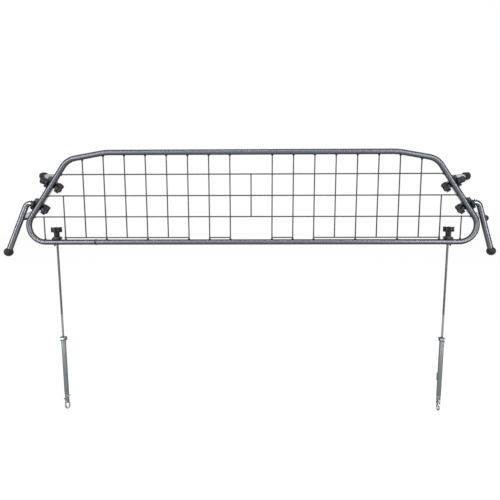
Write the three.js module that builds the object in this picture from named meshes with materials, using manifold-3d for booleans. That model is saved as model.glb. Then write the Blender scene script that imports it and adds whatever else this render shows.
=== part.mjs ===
// Wire dog guard for the back of a car: a bent tube frame with a welded wire mesh,
// four screw clamps, two swinging struts and arms, and two threaded hold-down rods.
// Millimetres. X runs along the guard, Y away from the viewer, Z up.
// The origin is the middle of the bottom rail's centre line.

import * as THREE from 'three';
import { mergeVertices } from 'three/addons/utils/BufferGeometryUtils.js';
import Module from 'manifold-3d';

// Sizes

const clearance = 0.3;
const halfShare = 0.5;
const roundSides = 16;
const barSides = 12;
const wireSides = 8;
const nutSides = 6;
const axisCount = 3;
const bendStep = 11;
const domeSteps = 7;
const weldDistance = 1e-5;
const quarterTurn = 90;
const fullTurn = 2 * Math.PI;

const frame = {
  tubeRadius: 6.5, railHeight: 212, crownHalf: 343.3, crownFall: 10,
  shoulderHalf: 435.1, sideSlope: 55,
  crownBend: 120, shoulderBend: 47, cornerBend: 38.5,
  weldAt: -376, weldGap: 1, weldWidth: 5, weldProud: 0.8,
};
const mesh = {
  wireRadius: 1.5, pitch: 50, firstRow: 11, bite: 0.3,
  shortSpanCount: 2, stepCount: 2, centreRowCount: 1,
};
const clamp = {
  upperShare: 0.53, bendGap: 30.1,
  lip: 3, faceGap: 1, topReach: 14.5, footReach: 14, shoulder: 6, endShare: 0.62,
  studRadius: 2.5, studSetback: 3.75, wall: 2.2,
  strutOffset: 7.5, strutSetback: 2, strutRelief: 0.7, grooveLip: 2.2, seatWall: 1.2,
  boreTop: -4.5, socketFloor: 1.45, socketWall: 1.7, socketTilt: 14, bossLength: 6, collarReach: 0.8,
};
const jaw = { back: 5, face: 0.2, start: 3.5, length: 14, padGap: 1.1, padStart: 1.2, padEnd: 1 };
const knob = {
  headRadius: 12.7, headLength: 8, hubRadius: 6.4, hubLength: 3.8,
  lobes: 5, lobeSteps: 6, notchShare: 0.24, studDepth: 9, studOut: 2.5, boreSpare: 0.6,
};
const nut = { flat: 4, length: 4 };
const screw = { radius: 2, headRadius: 2.8, headHeight: 2.2, keyRadius: 1.3, keyDepth: 1.2, depth: 5, bendAngle: 20 };
const plug = { floorGap: 0.8, headRadius: 7.6, headLength: 12.3, rounding: 2.5 };

const strut = {
  radius: 6, wall: 1.2, topAbove: 20.6, bottomBelow: 18.6,
  topAngle: 118, topReach: 51.3, topBend: 10, bottomAngle: 39.4, bottomRun: 46.9, bottomBend: 12,
  leftAngle: 32, rightAngle: 22.7, rightDrop: 7,
};
const foot = { radius: 10, length: 12, floor: 3, rim: 1 };
const cap = { radius: 8, skirt: 7, bore: 8 };
const arm = {
  radius: 6.5, wall: 1.2, start: 0.3, lead: 0.3, bend: 12, turn: 92, length: 126.5,
  leftSwing: -10, rightSwing: 2,
};
const ball = { radius: 10.5 };

const hold = { squareShare: 0.415, rodRadius: 2.5, rodSlack: 0.4, topSpare: 4.6, rodBelow: 24 };
const handKnob = { headRadius: 12.3, headLength: 11, hubRadius: 6.4, hubLength: 10.7, roof: 1.4 };
const saddle = {
  half: 9.5, hubHalf: 5.6, depth: 6.6, height: 6.75, skirtDrop: 1.75,
  innerSole: 1.25, innerTop: 5.75, outerTop: 3.25, pegAt: 6.3, pegRadius: 1.9, pegBelow: 3.15,
};
const tension = {
  bracketTop: -238, leaf: 2, gap: 5, leafHalf: 7, webReach: 5.5, depthHalf: 5.5,
  nutPlay: 0.3, tubeRadius: 5.5, tubeWall: 1, tubeLength: 141,
  tabLength: 20, tabReach: 2.5, tabHalf: 0.75, tabAt: 81,
};
const clevis = {
  plugLength: 9, collarRadius: 5, collarLength: 15.4, cheekGap: 1.9, cheek: 1.6, cheekHalf: 4,
  cheekLength: 7.6, pinDrop: 4.2, pinRadius: 1.3, headRadius: 2.2, headLength: 0.8,
};
const lockBar = { length: 19, height: 4, thickness: 3, tilt: -34, drop: 9.3 };
const hook = {
  eyeRadius: 3.6, thickness: 3.2, ringRadius: 6.5, bowlRadius: 3.5,
  ringTop: 6.2, ringBottom: 13.6, mouthTop: 5.4, mouthBottom: 12.6, mouthInner: 2.6,
  tongueHalf: 0.7, tongueSide: 1.2, tongueLength: 2.8,
};
const gate = { halfWidth: 1.3, pinRadius: 0.55, pinDrop: 1.6, slotReach: 2.1 };

const finishes = {
  frame: { color: 0x5b5d66, roughness: 0.38, metalness: 0.6 },
  wire: { color: 0x4b4d51, roughness: 0.45, metalness: 0.5 },
  plastic: { color: 0x24252a, roughness: 0.62, metalness: 0 },
  rubber: { color: 0x1e1f22, roughness: 0.75, metalness: 0 },
  zinc: { color: 0xb6b9bd, roughness: 0.35, metalness: 0.85 },
  dullZinc: { color: 0x8d9799, roughness: 0.42, metalness: 0.8 },
  steel: { color: 0x808489, roughness: 0.4, metalness: 0.8 },
};

// Building blocks

const wasm = await Module();
wasm.setup();
const xAxis = new THREE.Vector3(1, 0, 0);
const yAxis = new THREE.Vector3(0, 1, 0);
const zAxis = new THREE.Vector3(0, 0, 1);
const bases = { x: [yAxis, zAxis, xAxis], y: [xAxis, zAxis, yAxis], z: [xAxis, yAxis, zAxis] };
const group = new THREE.Group();
group.name = 'car_dog_guard';

const radians = THREE.MathUtils.degToRad;
const point = (x, y, z) => new THREE.Vector3(x, y, z);
const clearOf = (radius) => radius + clearance;

function volumeOf(positions, corners) {
  let total = 0;
  const a = new THREE.Vector3();
  const b = new THREE.Vector3();
  const c = new THREE.Vector3();
  const corner = (vector, i) => vector.fromBufferAttribute(positions, corners.getX(i));
  for (let last = axisCount; last <= corners.count; last += axisCount) {
    corner(a, last - axisCount);
    corner(b, last - 1 - 1);
    corner(c, last - 1);
    total += a.dot(b.cross(c));
  }
  return total;
}

function flipped(index) {
  const order = Array.from(index.array);
  for (let i = 0; i < order.length; i += axisCount) {
    [order[i], order[i + 1]] = [order[i + 1], order[i]];
  }
  return order;
}

function bareGeometry(geometry) {
  const bare = new THREE.BufferGeometry();
  bare.setAttribute('position', geometry.getAttribute('position'));
  if (geometry.index) bare.setIndex(geometry.index);
  const merged = mergeVertices(bare, weldDistance);
  if (volumeOf(merged.getAttribute('position'), merged.index) < 0) merged.setIndex(flipped(merged.index));
  return merged;
}

function solid(geometry) {
  const bare = bareGeometry(geometry);
  return new wasm.Manifold(new wasm.Mesh({
    numProp: axisCount,
    vertProperties: new Float32Array(bare.getAttribute('position').array),
    triVerts: new Uint32Array(bare.index.array),
  }));
}

function geometryOf(manifold) {
  const made = manifold.getMesh();
  const geometry = new THREE.BufferGeometry();
  geometry.setAttribute('position', new THREE.BufferAttribute(made.vertProperties, axisCount));
  geometry.setIndex(new THREE.BufferAttribute(made.triVerts, 1));
  return geometry;
}

function circle(radius, sides = barSides, u = 0, v = 0, turn = 0) {
  const points = [];
  for (let i = 0; i < sides; i += 1) {
    const angle = turn + (i / sides) * fullTurn;
    points.push(new THREE.Vector2(u + radius * Math.cos(angle), v + radius * Math.sin(angle)));
  }
  return new THREE.Shape(points);
}

function polygon(corners) {
  return new THREE.Shape(corners.map(([u, v]) => new THREE.Vector2(u, v)));
}

function rectangle(uFrom, uTo, vFrom, vTo) {
  return polygon([[uFrom, vFrom], [uTo, vFrom], [uTo, vTo], [uFrom, vTo]]);
}

function lobed(radius) {
  const points = [];
  const count = knob.lobes * knob.lobeSteps;
  for (let i = 0; i < count; i += 1) {
    const angle = (i / count) * fullTurn;
    const dip = (1 - Math.cos(knob.lobes * angle)) * halfShare;
    const reach = radius * (1 - knob.notchShare * dip);
    points.push(new THREE.Vector2(reach * Math.cos(angle), reach * Math.sin(angle)));
  }
  return new THREE.Shape(points);
}

function slab(shape, axis, from, to) {
  const geometry = new THREE.ExtrudeGeometry(shape, { depth: to - from, bevelEnabled: false, steps: 1 });
  geometry.translate(0, 0, from);
  geometry.applyMatrix4(new THREE.Matrix4().makeBasis(...bases[axis]));
  return geometry;
}

const block = (shape, axis, from, to) => solid(slab(shape, axis, from, to));
const bar = (radius, axis, from, to, u, v, sides) => block(circle(radius, sides, u, v), axis, from, to);

function turned(profile, placing) {
  const geometry = new THREE.LatheGeometry(profile.map(([r, z]) => new THREE.Vector2(r, z)), roundSides);
  geometry.applyMatrix4(new THREE.Matrix4().makeBasis(...bases.y));
  if (placing) geometry.applyMatrix4(placing);
  return solid(geometry);
}

// A centre line that is swept at its own stations, so straight runs take one step.
class Route extends THREE.Curve {
  constructor(stations) {
    super();
    this.stations = stations;
  }

  station(share) {
    return this.stations[Math.round(share * (this.stations.length - 1))];
  }

  getPoint(share) {
    return this.station(share).at.clone();
  }

  getPointAt(share) {
    return this.getPoint(share);
  }

  getTangentAt(share) {
    return this.station(share).along.clone();
  }
}

function bend(stations, before, corner, after, radius) {
  const inward = corner.clone().sub(before).normalize();
  const onward = after.clone().sub(corner).normalize();
  const turn = inward.angleTo(onward);
  const pivot = onward.clone().sub(inward).normalize();
  pivot.multiplyScalar(radius / Math.cos(turn * halfShare)).add(corner);
  const start = corner.clone().addScaledVector(inward, -radius * Math.tan(turn * halfShare));
  const axis = inward.clone().cross(onward).normalize();
  const steps = Math.max(1, Math.round(turn / radians(bendStep)));
  for (let i = 0; i <= steps; i += 1) {
    const swung = (i / steps) * turn;
    const at = start.clone().sub(pivot).applyAxisAngle(axis, swung).add(pivot);
    stations.push({ at, along: inward.clone().applyAxisAngle(axis, swung) });
  }
}

function route(corners, bends) {
  const last = corners.length - 1;
  const stations = [{ at: corners[0], along: corners[1].clone().sub(corners[0]).normalize() }];
  for (let i = 1; i < last; i += 1) {
    bend(stations, corners[i - 1], corners[i], corners[i + 1], bends[i - 1]);
  }
  const lastRun = corners[last].clone().sub(corners[last - 1]).normalize();
  stations.push({ at: corners[last], along: lastRun });
  return new Route(stations);
}

function sweep(path, radius, wall, sides) {
  const shape = circle(radius, sides);
  if (wall) shape.holes.push(circle(radius - wall, sides));
  const steps = path.stations.length - 1;
  return solid(new THREE.ExtrudeGeometry(shape, { extrudePath: path, steps, bevelEnabled: false }));
}

function add(name, manifold, finish, placing) {
  const geometry = geometryOf(manifold);
  if (placing) {
    geometry.applyMatrix4(placing);
    if (placing.determinant() < 0) geometry.setIndex(flipped(geometry.index));
  }
  geometry.computeVertexNormals();
  const piece = new THREE.Mesh(geometry, new THREE.MeshStandardMaterial(finishes[finish]));
  piece.name = name;
  group.add(piece);
}

const shift = (x, y, z) => new THREE.Matrix4().makeTranslation(x, y, z);
const spin = (axis, degrees) => new THREE.Matrix4().makeRotationAxis(axis, radians(degrees));
const chain = (...steps) => steps.reduce((whole, step) => whole.multiply(step), new THREE.Matrix4());

// Frame and mesh

const slope = radians(frame.sideSlope);
const shoulderHeight = frame.railHeight
  - (frame.shoulderHalf - frame.crownHalf) * Math.tan(radians(frame.crownFall));
const cornerHalf = frame.shoulderHalf + shoulderHeight / Math.tan(slope);
const railTop = frame.tubeRadius;
const frameClear = clearOf(frame.tubeRadius);
const cornerReach = frame.cornerBend * Math.tan(radians(quarterTurn - frame.sideSlope * halfShare));
const shoulderReach = frame.shoulderBend * Math.tan(radians(frame.sideSlope - frame.crownFall) * halfShare);
const crownEnd = frame.shoulderHalf - shoulderReach - mesh.wireRadius;

// Each rod stands in the outermost mesh square whose rail is still straight under the saddle.
const squaresInside = (cornerHalf - cornerReach - saddle.half) / mesh.pitch - hold.squareShare;
const holdAt = (Math.floor(squaresInside) + hold.squareShare) * mesh.pitch;

function frameTube() {
  const corners = [
    [frame.weldAt + frame.weldGap * halfShare, 0], [cornerHalf, 0],
    [frame.shoulderHalf, shoulderHeight], [frame.crownHalf, frame.railHeight],
    [-frame.crownHalf, frame.railHeight], [-frame.shoulderHalf, shoulderHeight],
    [-cornerHalf, 0], [frame.weldAt - frame.weldGap * halfShare, 0],
  ].map(([x, z]) => point(x, 0, z));
  const half = [frame.cornerBend, frame.shoulderBend, frame.crownBend];
  const loop = sweep(route(corners, [...half, ...half.slice().reverse()]), frame.tubeRadius, 0, roundSides);
  const beadRadius = frame.tubeRadius + frame.weldProud;
  const beadHalf = frame.weldWidth * halfShare;
  const bead = bar(beadRadius, 'x', frame.weldAt - beadHalf, frame.weldAt + beadHalf, 0, 0, roundSides);
  let tube = loop.add(bead);
  for (const x of [-holdAt, holdAt]) {
    const reach = frame.tubeRadius + frame.weldProud;
    tube = tube.subtract(bar(hold.rodRadius + hold.rodSlack, 'z', -reach, reach, x, 0));
    const pegX = x + Math.sign(x) * saddle.pegAt;
    tube = tube.subtract(bar(clearOf(saddle.pegRadius), 'z', -reach, reach, pegX, 0));
  }
  add('frame_tube', tube, 'frame');
}

const rowHeight = (row) => mesh.firstRow + row * mesh.pitch;
const sideAt = (z) => cornerHalf - z / Math.tan(slope);

const rowUnder = (z) => Math.floor((z - mesh.wireRadius - mesh.firstRow) / mesh.pitch);
const topRow = rowUnder(shoulderHeight - frameClear);

function rowInside(x) {
  const room = cornerHalf - frameClear / Math.sin(slope) - x - mesh.wireRadius;
  return Math.min(topRow, rowUnder(room * Math.tan(slope)));
}

function crownAt(x) {
  const fall = Math.max(0, x - frame.crownHalf) * Math.tan(radians(frame.crownFall));
  return frame.railHeight - fall - frameClear / Math.cos(radians(frame.crownFall));
}

function wire(axis, from, to, at) {
  const radius = mesh.wireRadius / Math.cos(halfShare * fullTurn / wireSides);
  const depth = axis === 'x' ? -mesh.wireRadius : mesh.wireRadius - mesh.bite;
  const place = axis === 'x' ? [depth, at] : [at, depth];
  return block(circle(radius, wireSides, ...place, halfShare * fullTurn / wireSides), axis, from, to);
}

function columnCount() {
  let count = 0;
  while (rowInside((count + 1) * mesh.pitch) > 0) count += 1;
  return count;
}

function meshWires() {
  const columns = columnCount();
  const longStart = mesh.shortSpanCount + 1;
  const longEnd = columns - 1;
  const wires = [];
  for (let row = 1; row <= topRow; row += 1) {
    const z = rowHeight(row);
    const end = sideAt(z + mesh.wireRadius) - frameClear / Math.sin(slope);
    wires.push(wire('x', -end, end, z));
  }
  for (let column = 1; column <= columns; column += 1) {
    const x = column * mesh.pitch;
    const hangs = column > longStart && column < longEnd && column % mesh.stepCount === 0;
    const foot = hangs ? mesh.firstRow - mesh.wireRadius : frameClear;
    const head = x > crownEnd ? rowHeight(rowInside(x)) + mesh.wireRadius : crownAt(x + mesh.wireRadius);
    wires.push(wire('z', foot, head, x), wire('z', foot, head, -x));
  }
  const centreFoot = rowHeight(mesh.centreRowCount) - mesh.wireRadius;
  wires.push(wire('z', centreFoot, rowHeight(topRow) + mesh.wireRadius, 0));
  for (const [first, last] of [[1, mesh.shortSpanCount], [longStart, longEnd]]) {
    const from = first * mesh.pitch - mesh.wireRadius;
    const to = last * mesh.pitch + mesh.wireRadius;
    wires.push(wire('x', from, to, mesh.firstRow), wire('x', -to, -from, mesh.firstRow));
  }
  return wires.reduce((whole, next) => whole.add(next));
}

// Side clamps: X outwards from the frame, Y to the rear, Z up along the sloping side

const studAt = frame.tubeRadius + clamp.studRadius + clamp.studSetback;
const strutAt = studAt + clamp.studRadius + strut.radius + clamp.strutSetback;
const strutClear = clearOf(strut.radius);
const socketStart = frameClear + clamp.socketFloor;
const bossRadius = clearOf(arm.radius) + clamp.socketWall;
const nutSeat = clamp.strutOffset + strutClear + clamp.seatWall;
const nutRadius = nut.flat / Math.cos(halfShare * fullTurn / nutSides);
const socketFrame = chain(shift(socketStart, 0, 0), spin(yAxis, clamp.socketTilt));
const studClear = clearOf(clamp.studRadius);
const lowerAt = shoulderHeight / Math.sin(slope) - cornerReach - clamp.bendGap;
const upperAt = lowerAt * clamp.upperShare;

function blockFront() {
  const tilt = radians(clamp.socketTilt);
  const reach = clamp.bossLength - clamp.collarReach;
  const end = socketStart + reach * Math.cos(tilt);
  const middle = -reach * Math.sin(tilt);
  const across = bossRadius * clamp.endShare * Math.sin(tilt);
  const along = bossRadius * clamp.endShare * Math.cos(tilt);
  const outline = polygon([
    [clamp.faceGap, -clamp.footReach], [clamp.shoulder, -clamp.footReach], [end - across, middle - along],
    [end + across, middle + along], [clamp.shoulder, clamp.topReach], [clamp.faceGap, clamp.topReach],
  ]);
  return block(outline, 'y', -clamp.lip, bossRadius);
}

function clampBlock() {
  const depth = strutAt - strutClear - clamp.strutRelief;
  const middle = block(rectangle(clamp.faceGap, nutSeat, -clamp.footReach, clamp.topReach), 'y', 0, depth);
  const rearFace = clamp.strutOffset - clamp.grooveLip;
  const rearBack = clamp.strutOffset + strutClear + clamp.wall;
  const rear = block(
    rectangle(rearFace, rearBack, -clamp.footReach, clamp.boreTop),
    'y', depth - clamp.wall, strutAt + strutClear + clamp.wall,
  );
  const bossStart = -halfShare * clamp.socketFloor;
  const collar = slab(circle(bossRadius, roundSides), 'x', bossStart, clamp.bossLength);
  const boss = solid(collar.applyMatrix4(socketFrame));
  const far = clamp.topReach + clamp.footReach;
  const bore = slab(circle(clearOf(arm.radius), roundSides), 'x', 0, far);
  const seatStart = clamp.bossLength + halfShare * clearance;
  const seat = slab(circle(clearOf(plug.headRadius), roundSides), 'x', seatStart, far);
  return blockFront().add(middle).add(rear).add(boss)
    .subtract(bar(frameClear, 'z', -far, far, 0, 0, roundSides))
    .subtract(bar(strutClear, 'z', -far, far, clamp.strutOffset, strutAt, roundSides))
    .subtract(bar(studClear, 'x', 0, nutSeat + clamp.wall, studAt, 0))
    .subtract(bar(clearOf(nutRadius), 'x', nutSeat, nutSeat + far, studAt, 0))
    .subtract(solid(bore.applyMatrix4(socketFrame)))
    .subtract(solid(seat.applyMatrix4(socketFrame)));
}

function clampJaw() {
  const padFace = clamp.strutOffset - clamp.grooveLip - jaw.padGap;
  const padStart = strutAt - strut.radius + jaw.padStart;
  const padEnd = strutAt + strut.radius - jaw.padEnd;
  const outline = polygon([
    [-jaw.back, jaw.start], [-jaw.face, jaw.start], [-jaw.face, studAt + studClear],
    [padFace, padStart], [padFace, padEnd], [-jaw.back, padEnd],
  ]);
  const half = jaw.length * halfShare;
  return block(outline, 'z', -half, half)
    .subtract(bar(frameClear, 'z', -jaw.length, jaw.length, 0, 0, roundSides))
    .subtract(bar(strutClear, 'z', -jaw.length, jaw.length, clamp.strutOffset, strutAt, roundSides))
    .subtract(bar(studClear, 'x', -jaw.back - clamp.wall, clamp.faceGap, studAt, 0));
}

function starKnob(headRadius, headLength, hubRadius, hubLength) {
  return block(lobed(headRadius), 'z', hubLength, hubLength + headLength)
    .add(bar(hubRadius, 'z', 0, hubLength + halfShare * headLength, 0, 0, roundSides));
}

function clampKnob() {
  const bore = bar(studClear, 'z', -clamp.wall, knob.studDepth + knob.boreSpare);
  return starKnob(knob.headRadius, knob.headLength, knob.hubRadius, knob.hubLength).subtract(bore);
}

function hexNut(radius, bore, length) {
  return bar(radius, 'z', 0, length, 0, 0, nutSides).subtract(bar(bore, 'z', -length, length + length));
}

function socketPlug() {
  const start = clamp.bossLength + clearance;
  const end = start + plug.headLength;
  return turned([
    [0, plug.floorGap], [arm.radius, plug.floorGap], [arm.radius, start], [plug.headRadius, start],
    [plug.headRadius, end - plug.rounding], [plug.headRadius - plug.rounding, end], [0, end],
  ], new THREE.Matrix4().makeBasis(yAxis, zAxis, xAxis));
}

function sideFrame(side, at) {
  const outwards = point(Math.sin(slope), 0, Math.cos(slope));
  const upwards = point(-Math.cos(slope), 0, Math.sin(slope));
  const origin = point(frame.shoulderHalf, 0, shoulderHeight).addScaledVector(upwards, -at);
  const placing = new THREE.Matrix4().makeBasis(outwards, yAxis, upwards).setPosition(origin);
  return new THREE.Matrix4().makeScale(side, 1, 1).multiply(placing);
}

function addClamp(name, placing) {
  const knobStart = -clearOf(jaw.back);
  const knobFrame = chain(placing, shift(knobStart, studAt, 0), spin(yAxis, -quarterTurn));
  const nutFrame = chain(placing, shift(clearOf(nutSeat), studAt, 0), spin(yAxis, quarterTurn));
  const studEnd = clearOf(nutSeat) + nut.length + knob.studOut;
  const stud = bar(clamp.studRadius, 'x', knobStart - knob.studDepth, studEnd, studAt, 0);
  add(`${name}_block`, clampBlock(), 'plastic', placing);
  add(`${name}_jaw`, clampJaw(), 'plastic', placing);
  add(`${name}_knob`, clampKnob(), 'plastic', knobFrame);
  add(`${name}_stud`, stud, 'zinc', placing);
  add(`${name}_nut`, hexNut(nutRadius, studClear, nut.length), 'zinc', nutFrame);
}

// Struts and arms

function cup(radius, bore, length, depth, rim) {
  return turned([
    [0, length], [radius - rim, length], [radius, length - rim], [radius, 0],
    [bore, 0], [bore, depth], [0, depth],
  ]);
}

function arcProfile(radius, middle, from) {
  const profile = [];
  for (let i = 0; i < domeSteps; i += 1) {
    const angle = from + (radians(quarterTurn) - from) * (i / domeSteps);
    profile.push([radius * Math.cos(angle), middle + radius * Math.sin(angle)]);
  }
  return [...profile, [0, middle + radius]];
}

function domeCap() {
  const inside = [[0, cap.bore], [strutClear, cap.bore], [strutClear, 0], [cap.radius, 0]];
  return turned([...inside, ...arcProfile(cap.radius, cap.skirt, 0)]);
}

function endBall() {
  const bore = clearOf(arm.radius);
  const inside = [[0, clearance], [bore, clearance]];
  return turned([...inside, ...arcProfile(ball.radius, 0, -Math.acos(bore / ball.radius))]);
}

function addStrut(name, side, swing, drop) {
  const placing = chain(
    sideFrame(side, 0), shift(clamp.strutOffset, strutAt, -drop), spin(zAxis, swing),
  );
  const topAngle = radians(strut.topAngle);
  const bottomAngle = radians(strut.bottomAngle);
  const topRun = strut.topReach / Math.sin(topAngle);
  const top = point(0, 0, strut.topAbove - upperAt);
  const bottom = point(0, 0, -lowerAt - strut.bottomBelow);
  const topLeg = point(Math.sin(topAngle), 0, Math.cos(topAngle));
  const bottomLeg = point(Math.sin(bottomAngle), 0, -Math.cos(bottomAngle));
  const topEnd = top.clone().addScaledVector(topLeg, topRun);
  const bottomEnd = bottom.clone().addScaledVector(bottomLeg, strut.bottomRun);
  const path = route([topEnd, top, bottom, bottomEnd], [strut.topBend, strut.bottomBend]);
  const footDepth = foot.length - foot.floor;
  const footStart = top.clone().addScaledVector(topLeg, topRun + clearance - footDepth);
  const capStart = bottom.clone().addScaledVector(bottomLeg, strut.bottomRun + clearance - cap.bore);
  const footFrame = chain(placing, shift(...footStart), spin(yAxis, strut.topAngle));
  const capFrame = chain(placing, shift(...capStart), spin(yAxis, quarterTurn + quarterTurn - strut.bottomAngle));
  add(`${name}_strut`, sweep(path, strut.radius, strut.wall, roundSides), 'zinc', placing);
  add(`${name}_strut_foot`, cup(foot.radius, strutClear, foot.length, footDepth, foot.rim), 'rubber', footFrame);
  add(`${name}_strut_cap`, domeCap(), 'rubber', capFrame);
}

function armScrew() {
  const seat = clearOf(arm.radius);
  const top = seat + screw.headHeight;
  return bar(screw.radius, 'z', arm.radius - screw.depth, seat + halfShare * screw.headHeight)
    .add(bar(screw.headRadius, 'z', seat, top))
    .subtract(bar(screw.keyRadius, 'z', top - screw.keyDepth, top + screw.keyDepth, 0, 0, nutSides));
}

function addArm(name, placing) {
  const turn = radians(arm.turn);
  const bendStart = clamp.bossLength + arm.lead;
  const vertex = point(bendStart + arm.bend * Math.tan(turn * halfShare), 0, 0);
  const leg = point(Math.cos(turn), 0, -Math.sin(turn));
  const end = vertex.clone().addScaledVector(leg, arm.length);
  const path = route([point(arm.start, 0, 0), vertex, end], [arm.bend]);
  const ballFrame = chain(placing, shift(...end), spin(yAxis, quarterTurn + arm.turn));
  const screwFrame = chain(shift(bendStart, 0, -arm.bend), spin(yAxis, screw.bendAngle), shift(0, 0, arm.bend));
  const hole = bar(clearOf(screw.radius), 'z', 0, arm.bend, 0, 0).transform(screwFrame.elements);
  const tube = sweep(path, arm.radius, arm.wall, roundSides).subtract(hole);
  add(`${name}_arm`, tube, 'frame', placing);
  add(`${name}_arm_screw`, armScrew(), 'steel', chain(placing, screwFrame));
  add(`${name}_arm_ball`, endBall(), 'rubber', ballFrame);
}

// Hold-down rods

const rodClear = clearOf(hold.rodRadius);
const rodHole = hold.rodRadius + hold.rodSlack;
const saddleTop = railTop + saddle.height;
const handKnobStart = saddleTop + clearance;
const handKnobBore = handKnob.hubLength + handKnob.headLength - handKnob.roof;

function railSaddle() {
  const outline = polygon([
    [-saddle.half, railTop + saddle.innerSole], [-saddle.hubHalf, railTop - saddle.skirtDrop],
    [saddle.half, railTop - saddle.skirtDrop], [saddle.half, railTop + saddle.outerTop],
    [saddle.hubHalf, saddleTop], [-saddle.hubHalf, saddleTop], [-saddle.half, railTop + saddle.innerTop],
  ]);
  const width = saddle.half + saddle.half;
  return block(outline, 'y', -saddle.depth, saddle.depth)
    .subtract(bar(frameClear, 'x', -width, width, 0, 0, roundSides))
    .subtract(bar(rodHole, 'z', 0, width))
    .add(bar(saddle.pegRadius, 'z', -railTop - saddle.pegBelow, railTop + saddle.outerTop, saddle.pegAt));
}

function rodKnob() {
  return starKnob(handKnob.headRadius, handKnob.headLength, handKnob.hubRadius, handKnob.hubLength)
    .subtract(bar(rodClear, 'z', -handKnob.roof, handKnobBore));
}

const leafBottom = tension.bracketTop - tension.leaf;
const gapBottom = leafBottom - tension.gap;
const tubeTop = gapBottom - tension.leaf;
const tubeEnd = tubeTop - tension.tubeLength;
const collarTop = tubeEnd - clearance;
const collarEnd = collarTop - clevis.collarLength;
const pinHeight = collarEnd - clevis.pinDrop;

function bracket() {
  const webOut = tension.webReach + tension.leaf;
  const outline = polygon([
    [-tension.leafHalf, tension.bracketTop], [-tension.leafHalf, leafBottom], [tension.webReach, leafBottom],
    [tension.webReach, gapBottom], [-tension.leafHalf, gapBottom], [-tension.leafHalf, tubeTop],
    [webOut, tubeTop], [webOut, tension.bracketTop],
  ]);
  return block(outline, 'y', -tension.depthHalf, tension.depthHalf)
    .subtract(bar(rodHole, 'z', tubeTop - tension.leaf, tension.bracketTop + tension.leaf));
}

function tensionTube() {
  const inner = tension.tubeRadius - tension.tubeWall;
  const tabTop = tubeTop - tension.tabAt;
  const tab = rectangle(-tension.tabHalf, tension.tabHalf, inner + tension.tubeWall * halfShare,
    tension.tubeRadius + tension.tabReach);
  return bar(tension.tubeRadius, 'z', tubeEnd, tubeTop, 0, 0, roundSides)
    .subtract(bar(inner, 'z', tubeEnd - tension.leaf, tubeTop + tension.leaf, 0, 0, roundSides))
    .add(block(tab, 'z', tabTop - tension.tabLength, tabTop));
}

function barBlock(spare) {
  const half = lockBar.length * halfShare + spare;
  const tall = lockBar.height * halfShare + spare;
  const deep = lockBar.thickness * halfShare + spare;
  const placing = chain(shift(0, 0, tubeEnd - lockBar.drop), spin(yAxis, lockBar.tilt));
  return solid(slab(rectangle(-half, half, -tall, tall), 'y', -deep, deep).applyMatrix4(placing));
}

const cheekOut = clevis.cheekGap + clevis.cheek;

function clevisEnd() {
  const plugRadius = tension.tubeRadius - tension.tubeWall - clearance;
  const cheek = rectangle(-clevis.cheekHalf, clevis.cheekHalf, collarEnd - clevis.cheekLength, collarEnd + clevis.cheek);
  const reach = cheekOut + clevis.cheek;
  return bar(plugRadius, 'z', collarTop - clevis.cheek, tubeEnd + clevis.plugLength, 0, 0, roundSides)
    .add(bar(clevis.collarRadius, 'z', collarEnd, collarTop, 0, 0, roundSides))
    .add(block(cheek, 'y', clevis.cheekGap, cheekOut))
    .add(block(cheek, 'y', -cheekOut, -clevis.cheekGap))
    .subtract(bar(clearOf(clevis.pinRadius), 'y', -reach, reach, 0, pinHeight))
    .subtract(barBlock(clearance));
}

function hookPin() {
  const seat = clearOf(cheekOut);
  const end = seat + clevis.headLength;
  return bar(clevis.pinRadius, 'y', -end, end, 0, pinHeight)
    .add(bar(clevis.headRadius, 'y', seat, end, 0, pinHeight))
    .add(bar(clevis.headRadius, 'y', -end, -seat, 0, pinHeight));
}

function stadium(radius, top, bottom) {
  const deep = hook.thickness * halfShare;
  return bar(radius, 'y', -deep, deep, 0, top, roundSides)
    .add(bar(radius, 'y', -deep, deep, 0, bottom, roundSides))
    .add(block(rectangle(-radius, radius, bottom, top), 'y', -deep, deep));
}

const mouthRoof = pinHeight - hook.mouthTop;
const gateMiddle = (hook.bowlRadius + hook.ringRadius) * halfShare;
const gatePin = mouthRoof - gate.pinDrop;

function snapHook() {
  const deep = hook.thickness * halfShare;
  const wide = hook.thickness + hook.thickness;
  const top = pinHeight - hook.ringTop;
  const bottom = pinHeight - hook.ringBottom;
  const bowl = bar(hook.bowlRadius, 'y', -wide, wide, 0, top, roundSides)
    .add(bar(hook.bowlRadius, 'y', -wide, wide, 0, bottom, roundSides))
    .add(block(rectangle(-hook.bowlRadius, hook.bowlRadius, bottom, top), 'y', -wide, wide));
  const mouth = rectangle(hook.mouthInner, hook.ringRadius + hook.thickness, pinHeight - hook.mouthBottom, mouthRoof);
  const tongue = rectangle(gateMiddle - hook.tongueSide, gateMiddle + hook.tongueSide,
    mouthRoof - hook.tongueLength, mouthRoof + hook.tongueSide);
  return stadium(hook.ringRadius, top, bottom)
    .add(bar(hook.eyeRadius, 'y', -deep, deep, 0, pinHeight, roundSides))
    .subtract(bowl)
    .subtract(block(mouth, 'y', -wide, wide))
    .add(block(tongue, 'y', -hook.tongueHalf, hook.tongueHalf))
    .subtract(bar(clearOf(gate.pinRadius), 'y', -wide, wide, gateMiddle, gatePin))
    .subtract(bar(clearOf(clevis.pinRadius), 'y', -wide, wide, 0, pinHeight));
}

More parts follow.
